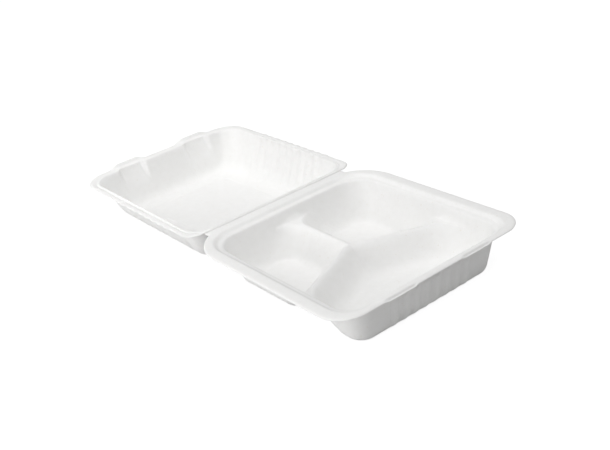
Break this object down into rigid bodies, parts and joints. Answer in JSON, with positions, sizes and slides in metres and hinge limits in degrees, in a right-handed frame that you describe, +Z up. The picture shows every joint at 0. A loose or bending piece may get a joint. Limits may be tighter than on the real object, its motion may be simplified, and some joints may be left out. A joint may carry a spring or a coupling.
{
  "type": "bagasse meal box",
  "caption": "Open clamshell meal box of pressed sugar-cane fibre: a tray divided by a Y-shaped ridge and a hinged lid with tabs.",
  "frame": {"origin": "on the table under the middle of the whole box as it lies open", "axes": "+X along the hinge crease, +Y from the tray to the lid, +Z up"},
  "size_m": [0.23, 0.4821, 0.0478],
  "materials": {
    "pressed_fibre": "matt pressed fibre"
  },
  "bodies": {
    "tray": {"base": "pressed_fibre"},
    "cover": {"lid": "pressed_fibre"}
  },
  "joints": [
    {"name": "lid_hinge", "type": "hinge", "parent": "tray", "child": "cover", "pos_m": [0, -0.0021, 0.044], "axis": [1, 0, 0], "range_deg": [0, 180]}
  ]
}
